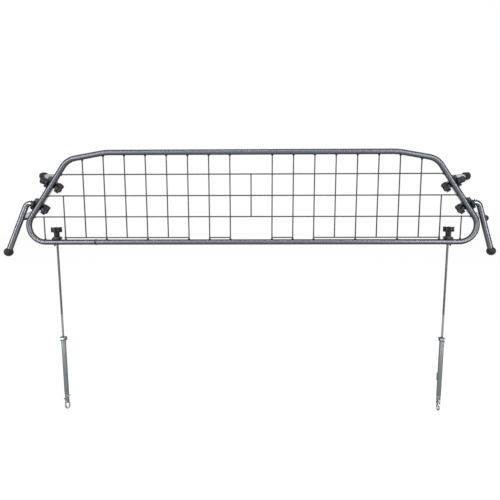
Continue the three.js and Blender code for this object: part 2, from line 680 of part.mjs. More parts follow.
function hookGate() {
  const deep = hook.thickness * halfShare;
  const slot = clearOf(hook.tongueHalf);
  const low = pinHeight - hook.mouthBottom + clearance;
  const wide = hook.ringRadius;
  const left = gateMiddle - gate.halfWidth;
  const right = gateMiddle + gate.halfWidth;
  return bar(gate.halfWidth, 'y', -deep, deep, gateMiddle, gatePin)
    .add(block(rectangle(left, right, low, gatePin), 'y', -deep, deep))
    .subtract(block(rectangle(-wide, wide + wide, gatePin - gate.slotReach, mouthRoof), 'y', -slot, slot))
    .add(bar(gate.pinRadius, 'y', -deep, deep, gateMiddle, gatePin));
}

function addHoldDown(name, side, turn) {
  const placing = chain(new THREE.Matrix4().makeScale(side, 1, 1), shift(holdAt, 0, 0));
  const unit = chain(shift(side * holdAt, 0, 0), spin(zAxis, turn));
  const rodTop = handKnobStart + handKnobBore - hold.topSpare;
  const nutFrame = chain(unit, shift(0, 0, gapBottom + tension.nutPlay));
  const nutLength = tension.gap - tension.nutPlay - tension.nutPlay;
  add(`${name}_rail_saddle`, railSaddle(), 'plastic', placing);
  add(`${name}_hand_knob`, rodKnob(), 'plastic', chain(placing, shift(0, 0, handKnobStart)));
  add(`${name}_rod`, bar(hold.rodRadius, 'z', tension.bracketTop - hold.rodBelow, rodTop), 'steel', unit);
  add(`${name}_tension_bracket`, bracket(), 'dullZinc', unit);
  add(`${name}_tension_nut`, hexNut(nutRadius, rodClear, nutLength), 'zinc', nutFrame);
  add(`${name}_tension_tube`, tensionTube(), 'dullZinc', unit);
  add(`${name}_clevis`, clevisEnd(), 'dullZinc', unit);
  add(`${name}_lock_bar`, barBlock(0), 'zinc', unit);
  add(`${name}_hook_pin`, hookPin(), 'zinc', unit);
  add(`${name}_hook`, snapHook(), 'dullZinc', unit);
  add(`${name}_hook_gate`, hookGate(), 'zinc', unit);
}

// Assembly

frameTube();
add('mesh_panel', meshWires(), 'wire');
const sides = [
  { name: 'left', side: -1, swing: strut.leftAngle, drop: 0, armSwing: arm.leftSwing, turn: 0 },
  {
    name: 'right', side: 1, swing: strut.rightAngle, drop: strut.rightDrop, armSwing: arm.rightSwing,
    turn: quarterTurn,
  },
];
for (const { name, side, swing, drop, armSwing, turn } of sides) {
  const upper = sideFrame(side, upperAt);
  const lower = sideFrame(side, lowerAt);
  addClamp(`${name}_upper`, upper);
  add(`${name}_socket_plug`, socketPlug(), 'rubber', chain(upper, socketFrame));
  addClamp(`${name}_lower`, lower);
  addStrut(name, side, swing, drop);
  addArm(name, chain(lower, socketFrame, spin(xAxis, armSwing)));
  addHoldDown(name, side, turn);
}

export default group;
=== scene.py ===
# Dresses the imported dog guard: painted tube frame, welded wires, clamps, struts, arms and hold-down rods.
import math
import bpy
from mathutils import Matrix, Vector


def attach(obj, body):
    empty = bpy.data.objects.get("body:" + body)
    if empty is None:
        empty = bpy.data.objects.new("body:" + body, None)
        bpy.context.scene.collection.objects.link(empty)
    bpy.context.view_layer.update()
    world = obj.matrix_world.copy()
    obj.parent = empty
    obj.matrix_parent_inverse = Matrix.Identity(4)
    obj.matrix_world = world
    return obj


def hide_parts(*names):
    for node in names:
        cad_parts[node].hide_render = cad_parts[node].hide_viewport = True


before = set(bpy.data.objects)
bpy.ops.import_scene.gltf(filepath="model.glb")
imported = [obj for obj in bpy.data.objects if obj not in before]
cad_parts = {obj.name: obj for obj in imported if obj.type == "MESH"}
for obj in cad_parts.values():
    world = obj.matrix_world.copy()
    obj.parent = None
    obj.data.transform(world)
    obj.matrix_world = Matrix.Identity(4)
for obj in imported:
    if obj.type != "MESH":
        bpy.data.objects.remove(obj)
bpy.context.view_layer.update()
mm = 0.001


print("frame loaded")

guard = {  # frame lines, as packed
    "tube": 6.5, "railHeight": 212, "crownHalf": 343.3, "crownFall": 10, "shoulderHalf": 435.1, "sideSlope": 55,
    "crownBend": 120, "shoulderBend": 47, "cornerBend": 38.5,
}
slope = math.radians(guard["sideSlope"])
shoulderHeight = guard["railHeight"] - (
    (guard["shoulderHalf"] - guard["crownHalf"]) * math.tan(math.radians(guard["crownFall"])))
cornerHalf = guard["shoulderHalf"] + shoulderHeight / math.tan(slope)
bothSides = (("left", -1), ("right", 1))


# small tools

plain = {"cylinderSides": 32, "past": 1, "fewestSteps": 2, "mergeGap": 1e-7, "packedMergeGap": 2e-6, "topGap": 1e-6,
         "flatLimit": 1.0}
packedEdge = {"segments": 2, "angle": 40}
shading = {"crisp": 40, "round": 50}  # smoothed below this angle


def clearSelection():
    if bpy.context.object and bpy.context.object.mode != "OBJECT":
        bpy.ops.object.mode_set(mode="OBJECT")
    bpy.ops.object.select_all(action="DESELECT")


def pick(piece):
    clearSelection()
    piece.select_set(True)
    bpy.context.view_layer.objects.active = piece


def bakePlace(piece):
    pick(piece)
    bpy.ops.object.transform_apply(location=True, rotation=True, scale=True)


def facing(direction):
    return Vector(direction).to_track_quat("Z", "Y").to_euler()


def editAll(piece):
    pick(piece)
    bpy.ops.object.mode_set(mode="EDIT")
    bpy.ops.mesh.select_all(action="SELECT")


def leaveEdit():
    bpy.ops.object.mode_set(mode="OBJECT")


def addCylinder(radius, start, end, sides=plain["cylinderSides"]):
    clearSelection()
    start, end = Vector(start) * mm, Vector(end) * mm
    bpy.ops.mesh.primitive_cylinder_add(
        vertices=sides, radius=radius * mm, depth=(end - start).length,
        location=(start + end) / 2, rotation=facing(end - start))
    return bpy.context.object


def addBall(radius, middle, axis, segments, rings):
    clearSelection()
    bpy.ops.mesh.primitive_uv_sphere_add(
        segments=segments, ring_count=rings, radius=radius * mm, location=Vector(middle) * mm, rotation=facing(axis))
    return bpy.context.object


def addModifier(piece, kind, **values):
    pick(piece)
    modifier = piece.modifiers.new(kind.lower(), kind)
    for name, value in values.items():
        setattr(modifier, name, value)
    bpy.ops.object.modifier_apply(modifier=modifier.name)
    return piece


def roundEdges(piece, width, segments, angle):
    return addModifier(piece, "BEVEL", width=width * mm, segments=segments, limit_method="ANGLE",
                       angle_limit=math.radians(angle), harden_normals=False)


def cutAway(piece, cutter):
    addModifier(piece, "BOOLEAN", object=cutter, operation="DIFFERENCE", solver="EXACT")
    bpy.data.objects.remove(cutter)
    return piece


def joined(pieces):
    clearSelection()
    for piece in pieces:
        piece.select_set(True)
    bpy.context.view_layer.objects.active = pieces[0]
    bpy.ops.object.join()
    return bpy.context.object


def copyOf(piece, placing):
    pick(piece)
    bpy.ops.object.duplicate()
    twin = bpy.context.object
    twin.matrix_world = placing @ twin.matrix_world
    bakePlace(twin)
    if placing.determinant() < 0:
        outwardFaces(twin)
    return twin


def outwardFaces(piece):
    editAll(piece)
    bpy.ops.mesh.normals_make_consistent(inside=False)
    leaveEdit()


def finishPiece(piece, name, body, nodes, finish, shade):
    bakePlace(piece)
    bpy.ops.object.shade_smooth_by_angle(angle=math.radians(shading[shade]))
    piece.name = name
    piece.data.materials.clear()
    piece.data.materials.append(finishes[finish])
    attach(piece, body)
    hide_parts(*nodes)


def sidePlace(side, at):  # X outwards from the sloping side, Y to the rear, Z up along the side
    outwards = Vector((math.sin(slope), 0, math.cos(slope)))
    upwards = Vector((-math.cos(slope), 0, math.sin(slope)))
    origin = (Vector((guard["shoulderHalf"], 0, shoulderHeight)) - upwards * at) * mm
    turned = Matrix((outwards, (0, 1, 0), upwards)).transposed().to_4x4()
    return Matrix.Scale(side, 4, (1, 0, 0)) @ Matrix.Translation(origin) @ turned


def shift(x, y, z):
    return Matrix.Translation(Vector((x, y, z)) * mm)


def spin(degrees, axis):
    return Matrix.Rotation(math.radians(degrees), 4, axis)


def growTube(radius, sides, corners, bends, steps):
    corners = [Vector(corner) * mm for corner in corners]
    heading = (corners[1] - corners[0]).normalized()
    clearSelection()
    bpy.ops.mesh.primitive_circle_add(
        vertices=sides, radius=radius * mm, fill_type="NGON", location=corners[0], rotation=facing(heading))
    tube = bpy.context.object
    bakePlace(tube)
    editAll(tube)
    here = corners[0]
    for before, corner, after, bend in zip(corners, corners[1:], corners[2:], bends):
        inward = (corner - before).normalized()
        onward = (after - corner).normalized()
        turn = inward.angle(onward)
        reach = bend * mm * math.tan(turn / 2)
        pivot = corner + (onward - inward).normalized() * (bend * mm / math.cos(turn / 2))
        bpy.ops.mesh.extrude_region_move(TRANSFORM_OT_translate={"value": corner - inward * reach - here})
        arcSteps = max(plain["fewestSteps"], round(steps * turn))
        bpy.ops.mesh.spin(steps=arcSteps, angle=turn, center=pivot, axis=onward.cross(inward))
        here = corner + onward * reach
    bpy.ops.mesh.extrude_region_move(TRANSFORM_OT_translate={"value": corners[-1] - here})
    bpy.ops.mesh.select_all(action="SELECT")
    bpy.ops.mesh.remove_doubles(threshold=plain["mergeGap"])
    bpy.ops.mesh.normals_make_consistent(inside=False)
    leaveEdit()
    return tube


def softened(node, width, limit):  # a merged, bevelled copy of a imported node
    pick(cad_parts[node])
    bpy.ops.object.duplicate()
    piece = bpy.context.object
    for key in list(piece.keys()):
        del piece[key]
    piece.parent = None
    editAll(piece)
    bpy.ops.mesh.remove_doubles(threshold=plain["packedMergeGap"])
    bpy.ops.mesh.dissolve_limited(angle_limit=math.radians(limit))
    leaveEdit()
    return roundEdges(piece, width, **packedEdge)


def dressPacked(node, name, body, finish, width, limit=plain["flatLimit"]):
    finishPiece(softened(node, width, limit), name, body, [node], finish, "crisp")


# finishes

skin = {"grainDetail": 4, "driftScale": 38, "driftDetail": 3, "driftSpan": 0.5, "bumpReach": 0.0003, "specular": 0.5}


def sprayedGroup():  # fine hammered skin with slow colour drift
    group = bpy.data.node_groups.new("sprayedSkin", "ShaderNodeTree")
    group.interface.new_socket("Colour", in_out="INPUT", socket_type="NodeSocketColor")
    group.interface.new_socket("Grain", in_out="INPUT", socket_type="NodeSocketFloat")
    group.interface.new_socket("Depth", in_out="INPUT", socket_type="NodeSocketFloat")
    group.interface.new_socket("Drift", in_out="INPUT", socket_type="NodeSocketFloat")
    group.interface.new_socket("Colour", in_out="OUTPUT", socket_type="NodeSocketColor")
    group.interface.new_socket("Roughness", in_out="OUTPUT", socket_type="NodeSocketFloat")
    group.interface.new_socket("Normal", in_out="OUTPUT", socket_type="NodeSocketVector")
    nodes, links = group.nodes, group.links
    given, handed = nodes.new("NodeGroupInput"), nodes.new("NodeGroupOutput")
    place = nodes.new("ShaderNodeTexCoord")
    grain = nodes.new("ShaderNodeTexNoise")
    grain.inputs["Detail"].default_value = skin["grainDetail"]
    drift = nodes.new("ShaderNodeTexNoise")
    drift.inputs["Scale"].default_value = skin["driftScale"]
    drift.inputs["Detail"].default_value = skin["driftDetail"]
    shade = nodes.new("ShaderNodeMapRange")
    shade.inputs["To Min"].default_value = -skin["driftSpan"]
    shade.inputs["To Max"].default_value = skin["driftSpan"]
    amount = nodes.new("ShaderNodeMath")
    amount.operation = "MULTIPLY_ADD"
    amount.inputs[2].default_value = 1
    tint = nodes.new("ShaderNodeHueSaturation")
    bump = nodes.new("ShaderNodeBump")
    bump.inputs["Distance"].default_value = skin["bumpReach"]
    links.new(place.outputs["Object"], grain.inputs["Vector"])
    links.new(place.outputs["Object"], drift.inputs["Vector"])
    links.new(given.outputs["Grain"], grain.inputs["Scale"])
    links.new(drift.outputs["Fac"], shade.inputs["Value"])
    links.new(shade.outputs["Result"], amount.inputs[0])
    links.new(given.outputs["Drift"], amount.inputs[1])
    links.new(amount.outputs["Value"], tint.inputs["Value"])
    links.new(given.outputs["Colour"], tint.inputs["Color"])
    links.new(grain.outputs["Fac"], bump.inputs["Height"])
    links.new(given.outputs["Depth"], bump.inputs["Strength"])
    links.new(tint.outputs["Color"], handed.inputs["Colour"])
    links.new(grain.outputs["Fac"], handed.inputs["Roughness"])
    links.new(bump.outputs["Normal"], handed.inputs["Normal"])
    return group


sprayedSkin = sprayedGroup()


def makeFinish(name, look):
    material = bpy.data.materials.new(name)
    material.use_nodes = True
    nodes, links = material.node_tree.nodes, material.node_tree.links
    shader = nodes["Principled BSDF"]
    shader.inputs["Metallic"].default_value = look["metallic"]
    shader.inputs["Specular IOR Level"].default_value = look.get("specular", skin["specular"])
    sprayed = nodes.new("ShaderNodeGroup")
    sprayed.node_tree = sprayedSkin
    sprayed.inputs["Colour"].default_value = (*look["colour"], 1)
    sprayed.inputs["Grain"].default_value = look["grain"]
    sprayed.inputs["Depth"].default_value = look["depth"]
    sprayed.inputs["Drift"].default_value = look["drift"]
    spread = nodes.new("ShaderNodeMapRange")
    spread.inputs["To Min"].default_value, spread.inputs["To Max"].default_value = look["roughness"]
    links.new(sprayed.outputs["Normal"], shader.inputs["Normal"])
    links.new(sprayed.outputs["Roughness"], spread.inputs["Value"])
    links.new(spread.outputs["Result"], shader.inputs["Roughness"])
    colour = sprayed.outputs["Colour"]
    if "rim" in look:  # painted shade: skin that turns away from the camera is painted darker, standing in for the tube's own shading
        # painted shade: the rim colour is mixed into the base colour by how far the skin faces away
        turned = nodes.new("ShaderNodeLayerWeight")
        ramp = nodes.new("ShaderNodeMapRange")
        ramp.inputs["From Min"].default_value, ramp.inputs["From Max"].default_value = look["rimShadeSpan"]
        rim = nodes.new("ShaderNodeMix")
        rim.data_type = "RGBA"
        rim.inputs["B"].default_value = (*look["rim"], 1)
        links.new(turned.outputs["Facing"], ramp.inputs["Value"])
        links.new(ramp.outputs["Result"], rim.inputs["Factor"])
        links.new(colour, rim.inputs["A"])
        colour = rim.outputs["Result"]
    links.new(colour, shader.inputs["Base Color"])
    return material


# the rim colours below are painted shade, laid on where the skin turns away from the camera
looks = {
    "framePaint": {"colour": (0.1, 0.105, 0.12), "metallic": 0.9, "grain": 300, "depth": 0.006, "drift": 0.1,
                   "roughness": (0.34, 0.4), "rim": (0.02, 0.022, 0.028), "rimShadeSpan": (0.03, 0.42)},
    "armPaint": {"colour": (0.12, 0.126, 0.142), "metallic": 0.92, "grain": 300, "depth": 0.004, "drift": 0.1,
                 "roughness": (0.15, 0.18), "rim": (0.022, 0.024, 0.03), "rimShadeSpan": (0.04, 0.4)},
    "wirePaint": {"colour": (0.032, 0.033, 0.037), "metallic": 0.6, "grain": 900, "depth": 0.08, "drift": 0.2,
                  "roughness": (0.4, 0.55)},
    "weldPaint": {"colour": (0.012, 0.012, 0.014), "metallic": 0.5, "grain": 900, "depth": 0.5, "drift": 0.5,
                  "roughness": (0.4, 0.6)},
    "blackPlastic": {"colour": (0.005, 0.0053, 0.0063), "metallic": 0.0, "grain": 1400, "depth": 0.12, "drift": 0.3,
                     "roughness": (0.3, 0.42), "specular": 0.18},
    "blackRubber": {"colour": (0.007, 0.007, 0.008), "metallic": 0.0, "grain": 1400, "depth": 0.3, "drift": 0.4,
                    "roughness": (0.4, 0.6), "specular": 0.18},
    "brightZinc": {"colour": (0.6, 0.62, 0.64), "metallic": 0.9, "grain": 500, "depth": 0.05, "drift": 0.15,
                   "roughness": (0.24, 0.38), "rim": (0.25, 0.26, 0.28), "rimShadeSpan": (0.1, 0.7)},
    "dullZinc": {"colour": (0.15, 0.16, 0.164), "metallic": 0.85, "grain": 400, "depth": 0.08, "drift": 0.25,
                 "roughness": (0.36, 0.52), "rim": (0.095, 0.1, 0.104), "rimShadeSpan": (0.1, 0.7)},
    "hookZinc": {"colour": (0.4, 0.415, 0.425), "metallic": 0.9, "grain": 500, "depth": 0.05, "drift": 0.2,
                 "roughness": (0.28, 0.42), "rim": (0.11, 0.116, 0.12), "rimShadeSpan": (0.06, 0.5)},
    "threadedSteel": {"colour": (0.068, 0.07, 0.074), "metallic": 0.8, "grain": 900, "depth": 0.08, "drift": 0.25,
                      "roughness": (0.34, 0.5), "ridge": 0.8, "ridgeDepth": 0.4, "waveStretch": 20,
                      "shank": (0.2, 0.205, 0.212), "shankFrom": -181, "shankTo": -179},
}
finishes = {name: makeFinish(name, look) for name, look in looks.items()}


def cutThread(material, look):  # ridges above, plain and lighter shank below
    nodes, links = material.node_tree.nodes, material.node_tree.links
    shader = nodes["Principled BSDF"]
    place = nodes.new("ShaderNodeTexCoord")
    rings = nodes.new("ShaderNodeTexWave")
    rings.bands_direction = "Z"
    rings.inputs["Scale"].default_value = 2 * math.pi / (look["waveStretch"] * look["ridge"] * mm)  # a wave a ridge
    bump = nodes.new("ShaderNodeBump")
    bump.inputs["Distance"].default_value = skin["bumpReach"]
    height = nodes.new("ShaderNodeSeparateXYZ")
    threaded = nodes.new("ShaderNodeMapRange")
    threaded.inputs["From Min"].default_value = look["shankFrom"] * mm
    threaded.inputs["From Max"].default_value = look["shankTo"] * mm
    ridges = nodes.new("ShaderNodeMath")
    ridges.operation = "MULTIPLY"
    ridges.inputs[1].default_value = look["ridgeDepth"]
    shade = nodes.new("ShaderNodeMix")
    shade.data_type = "RGBA"
    shade.inputs["A"].default_value = (*look["shank"], 1)
    dark = shader.inputs["Base Color"].links[0].from_socket
    links.new(place.outputs["Object"], rings.inputs["Vector"])
    links.new(place.outputs["Object"], height.inputs["Vector"])
    links.new(height.outputs["Z"], threaded.inputs["Value"])
    links.new(threaded.outputs["Result"], ridges.inputs[0])
    links.new(threaded.outputs["Result"], shade.inputs["Factor"])
    links.new(dark, shade.inputs["B"])
    links.new(shade.outputs["Result"], shader.inputs["Base Color"])
    links.new(ridges.outputs["Value"], bump.inputs["Strength"])
    links.new(rings.outputs["Fac"], bump.inputs["Height"])
    links.new(bump.outputs["Normal"], shader.inputs["Normal"])


cutThread(finishes["threadedSteel"], looks["threadedSteel"])
print("finishes made")


# frame and mesh

frameTube = {"sides": 32, "steps": 14, "weldAt": -376, "weldRadius": 7.3, "weldHalf": 2.5,
             "weldEdge": (1.6, 4, 35)}  # an edge is its width, segments and least angle


def buildFrame():
    end = frameTube["weldAt"]
    corners = [(end, 0, 0), (cornerHalf, 0, 0), (guard["shoulderHalf"], 0, shoulderHeight),
               (guard["crownHalf"], 0, guard["railHeight"]), (-guard["crownHalf"], 0, guard["railHeight"]),
               (-guard["shoulderHalf"], 0, shoulderHeight), (-cornerHalf, 0, 0), (end, 0, 0)]
    bends = [guard["cornerBend"], guard["shoulderBend"], guard["crownBend"]]
    tube = growTube(guard["tube"], frameTube["sides"], corners, bends + bends[::-1], frameTube["steps"])
    half = frameTube["weldHalf"]
    weld = addCylinder(frameTube["weldRadius"], (end - half, 0, 0), (end + half, 0, 0))
    roundEdges(weld, *frameTube["weldEdge"])
    finishPiece(tube, "frameTube", "frame", ["frame_tube"], "framePaint", "round")
    finishPiece(weld, "frameWeld", "frame", [], "weldPaint", "round")


meshWires = {"radius": 1.5, "pitch": 50, "firstRow": 11, "rows": 4, "columns": 10, "bite": 0.3, "end": 0.3,
             "railColumns": (1, 2, 3, 5, 7, 9, 10), "crownColumns": 8, "spans": ((1, 2), (3, 9)),
             "sides": 16, "edge": (0.3, 1, 60)}
wireBead = {"radius": 2.9, "segments": 14, "rings": 8, "flat": 0.7, "rowOut": 0.4, "rowDown": 0.6}


def wireBetween(start, end):
    wire = addCylinder(meshWires["radius"], start, end, meshWires["sides"])
    return roundEdges(wire, *meshWires["edge"])


def weldBead(at, direction):
    bead = addBall(wireBead["radius"], at, direction, wireBead["segments"], wireBead["rings"])
    bead.scale = (1.0, 1.0, wireBead["flat"])
    bakePlace(bead)
    return bead


def buildMesh():
    radius, pitch, back = meshWires["radius"], meshWires["pitch"], meshWires["radius"] - meshWires["bite"]
    tube = guard["tube"]
    fall = math.radians(guard["crownFall"])
    wires, beads = [], []
    for row in range(1, meshWires["rows"]):
        z = meshWires["firstRow"] + row * pitch
        end = cornerHalf - (z + radius) / math.tan(slope) - (tube + meshWires["end"]) / math.sin(slope)
        wires.append(wireBetween((-end, -radius, z), (end, -radius, z)))
        for side in (-1, 1):
            at = (side * (end + wireBead["rowOut"]), -radius, z - wireBead["rowDown"])
            beads.append(weldBead(at, (side * math.sin(slope), 0, math.cos(slope))))
    for column in range(1, meshWires["columns"] + 1):
        x = column * pitch
        onRail = column in meshWires["railColumns"]
        foot = tube + meshWires["end"] if onRail else meshWires["firstRow"] - radius
        past = column - meshWires["crownColumns"]
        if past > 0:
            head = meshWires["firstRow"] + (meshWires["rows"] - 1 - past) * pitch + radius
        else:
            drop = max(0, x + radius - guard["crownHalf"]) * math.tan(fall)
            head = guard["railHeight"] - drop - (tube + meshWires["end"]) / math.cos(fall)
        for side in (-1, 1):
            wires.append(wireBetween((side * x, back, foot), (side * x, back, head)))
            if onRail:
                beads.append(weldBead((side * x, back, foot), (0, 0, 1)))
            if past <= 0:
                beads.append(weldBead((side * x, back, head), (0, 0, 1)))
    centreFoot = meshWires["firstRow"] + pitch
    centreHead = meshWires["firstRow"] + (meshWires["rows"] - 1) * pitch
    wires.append(wireBetween((0, back, centreFoot - radius), (0, back, centreHead + radius)))
    for first, last in meshWires["spans"]:
        for side in (-1, 1):
            ends = sorted((side * (first * pitch - radius), side * (last * pitch + radius)))
            wires.append(wireBetween(*((x, -radius, meshWires["firstRow"]) for x in ends)))
    finishPiece(joined(wires), "meshWires", "frame", ["mesh_panel"], "wirePaint", "round")
    finishPiece(joined(beads), "meshWelds", "frame", [], "weldPaint", "round")


buildFrame()
buildMesh()
print("frame and mesh built")


# knobs and clamps

clamps = {"upperAt": 71.54, "lowerAt": 134.99, "studAt": 12.75, "strutOffset": 7.5, "strutAt": 23.25,
          "socketStart": 8.25, "socketTilt": 14, "bossLength": 6, "knobStart": 5.3,
          "knob": {"headRadius": 12.7, "headLength": 8, "hubRadius": 6.4, "hubLength": 3.8}}
clampParts = (  # node, body, finish, slot, edge width
    ("block", "clamp", "blackPlastic", "black_plastic", 0.45),
    ("jaw", "clamp_jaw", "blackPlastic", "black_plastic", 0.4),
    ("stud", "clamp_screw", "brightZinc", "bright_zinc", 0.3),
    ("nut", "clamp", "brightZinc", "bright_zinc", 0.3))
starKnob = {"lobes": 5, "scallop": 4.3, "scallopShare": 1.1, "rim": 2.2, "dish": 0.9, "turn": -18, "sides": 60,
            "scallopSides": 28, "hubSides": 40, "edge": (0.9, 3, 40), "hubEdge": (0.5, 2, 40)}
plug = {"start": 0.8, "radius": 6.5, "headStart": 6.3, "headRadius": 7.6, "headEnd": 18.6, "overlap": 1,
        "headSides": 40, "edge": (2.4, 5, 40)}


def buildKnob(headRadius, headLength, hubRadius, hubLength):
    headEnd, past = hubLength + headLength, plain["past"]
    head = addCylinder(headRadius, (0, 0, hubLength), (0, 0, headEnd), starKnob["sides"])
    for lobe in range(starKnob["lobes"]):
        angle = (lobe + 0.5) / starKnob["lobes"] * 2 * math.pi
        reach = headRadius * starKnob["scallopShare"]
        x, y = reach * math.cos(angle), reach * math.sin(angle)
        cutAway(head, addCylinder(starKnob["scallop"], (x, y, hubLength - past), (x, y, headEnd + past),
                                  starKnob["scallopSides"]))
    roundEdges(head, *starKnob["edge"])
    pick(head)
    bpy.ops.object.mode_set(mode="EDIT")
    bpy.ops.mesh.select_all(action="DESELECT")
    leaveEdit()
    top = max(face.center.z for face in head.data.polygons)
    for face in head.data.polygons:
        face.select = face.center.z > top - plain["topGap"]
    bpy.ops.object.mode_set(mode="EDIT")
    bpy.ops.mesh.inset(thickness=starKnob["rim"] * mm)
    bpy.ops.mesh.extrude_region_move(TRANSFORM_OT_translate={"value": (0, 0, -starKnob["dish"] * mm)})
    leaveEdit()
    hub = addCylinder(hubRadius, (0, 0, 0), (0, 0, hubLength + headLength / 2), starKnob["hubSides"])
    roundEdges(hub, *starKnob["hubEdge"])
    return joined([head, hub])


def buildPlug():
    stem = addCylinder(plug["radius"], (0, 0, plug["start"]), (0, 0, plug["headStart"] + plug["overlap"]))
    head = addCylinder(plug["headRadius"], (0, 0, plug["headStart"]), (0, 0, plug["headEnd"]), plug["headSides"])
    roundEdges(head, *plug["edge"])
    return joined([stem, head])


def buildClamps():
    sample, plugSample = buildKnob(**clamps["knob"]), buildPlug()
    for sideName, side in bothSides:
        for level in ("upper", "lower"):
            name = f"{sideName}_{level}"
            place = sidePlace(side, clamps[level + "At"])
            knobPlace = place @ shift(-clamps["knobStart"], clamps["studAt"], 0) @ spin(-90, "Y")
            knob = copyOf(sample, knobPlace @ spin(starKnob["turn"], "Z"))
            finishPiece(knob, name + "Knob", name + "_clamp_screw", [name + "_knob"],
                        "blackPlastic", "crisp")
            for part, body, finish, slotName, width in clampParts:
                dressPacked(f"{name}_{part}", name + part.title(), f"{name}_{body}", finish, width)
        socket = (sidePlace(side, clamps["upperAt"]) @ shift(clamps["socketStart"], 0, 0)
                  @ spin(clamps["socketTilt"] + 90, "Y"))
        finishPiece(copyOf(plugSample, socket), sideName + "SocketPlug", sideName + "_upper_clamp",
                    [sideName + "_socket_plug"], "blackRubber", "round")
    for made in (sample, plugSample):
        bpy.data.objects.remove(made)


buildClamps()
print("clamps built")


# struts and arms

strut = {"radius": 6, "wall": 1.2, "topAt": 50.94, "bottomAt": 153.59, "topTurn": 118, "topReach": 51.3,
         "topBend": 10, "bottomTurn": 39.4, "bottomRun": 46.9, "bottomBend": 12, "sides": 28, "steps": 9,
         "swing": {"left": 32, "right": 22.7}, "drop": {"left": 0, "right": 7}, "spare": 0.3}
strutFoot = {"radius": 9.68, "length": 12, "depth": 9, "bore": 6.3, "rim": 2.5, "ring": 1.2, "groove": 0.6,
             "lip": 0.4, "sides": 40, "upright": 0.9, "nearEnd": 0.1, "edge": (0.7, 3, 50)}
strutCap = {"radius": 8, "skirt": 7, "bore": 6.3, "depth": 8, "segments": 36, "rings": 18, "edge": (0.5, 2, 60)}
bentArm = {"radius": 6.5, "wall": 1.2, "start": 0.3, "lead": 0.3, "bend": 12, "turn": 92, "length": 126.5,
           "sides": 32, "steps": 12, "swing": {"left": -10, "right": 2}, "screwEdge": 0.25}
endBall = {"radius": 10.38, "neck": 8.0, "bore": 6.8, "seat": 0.3, "segments": 40, "rings": 24, "edge": (0.4, 2, 50)}
tubeEnds = {"past": 2, "bored": 9, "sides": 28}


def buildFoot():
    foot = addCylinder(strutFoot["radius"], (0, 0, 0), (0, 0, strutFoot["length"]), strutFoot["sides"])
    cutAway(foot, addCylinder(strutFoot["bore"], (0, 0, -plain["past"]), (0, 0, strutFoot["depth"])))
    pick(foot)
    for face in foot.data.polygons:
        nearEnd = face.center.z > (strutFoot["length"] - strutFoot["nearEnd"]) * mm
        face.select = face.normal.z > strutFoot["upright"] and nearEnd
    bpy.ops.object.mode_set(mode="EDIT")
    bpy.ops.mesh.select_mode(type="FACE")
    bpy.ops.mesh.inset(thickness=strutFoot["rim"] * mm)
    bpy.ops.mesh.inset(thickness=strutFoot["ring"] * mm, depth=-strutFoot["groove"] * mm)
    bpy.ops.mesh.inset(thickness=strutFoot["lip"] * mm, depth=strutFoot["groove"] * mm)
    leaveEdit()
    return roundEdges(foot, *strutFoot["edge"])


def buildCap():
    cap = addBall(strutCap["radius"], (0, 0, strutCap["skirt"]), (0, 0, 1), strutCap["segments"], strutCap["rings"])
    bakePlace(cap)
    editAll(cap)
    bpy.ops.mesh.bisect(plane_co=(0, 0, strutCap["skirt"] * mm), plane_no=(0, 0, 1), clear_inner=True)
    bpy.ops.mesh.extrude_region_move(TRANSFORM_OT_translate={"value": (0, 0, -strutCap["skirt"] * mm)})
    bpy.ops.mesh.edge_face_add()
    bpy.ops.mesh.select_all(action="SELECT")
    bpy.ops.mesh.normals_make_consistent(inside=False)
    leaveEdit()
    cutAway(cap, addCylinder(strutCap["bore"], (0, 0, -plain["past"]), (0, 0, strutCap["depth"])))
    return roundEdges(cap, *strutCap["edge"])


def buildBall():
    ball = addBall(endBall["radius"], (0, 0, 0), (0, 0, 1), endBall["segments"], endBall["rings"])
    bakePlace(ball)
    editAll(ball)
    bpy.ops.mesh.bisect(plane_co=(0, 0, -endBall["neck"] * mm), plane_no=(0, 0, -1), clear_outer=True, use_fill=True)
    leaveEdit()
    boreStart = -endBall["radius"] - plain["past"]
    cutAway(ball, addCylinder(endBall["bore"], (0, 0, boreStart), (0, 0, endBall["seat"])))
    return roundEdges(ball, *endBall["edge"])


def openTube(tube, radius, wall, corners):  # bores the ends, for a length that shows
    for end, towards in ((corners[0], corners[1]), (corners[-1], corners[-2])):
        end, towards = Vector(end), Vector(towards)
        inwards = (towards - end).normalized()
        cutAway(tube, addCylinder(radius - wall, end - inwards * tubeEnds["past"],
                                  end + inwards * tubeEnds["bored"], tubeEnds["sides"]))


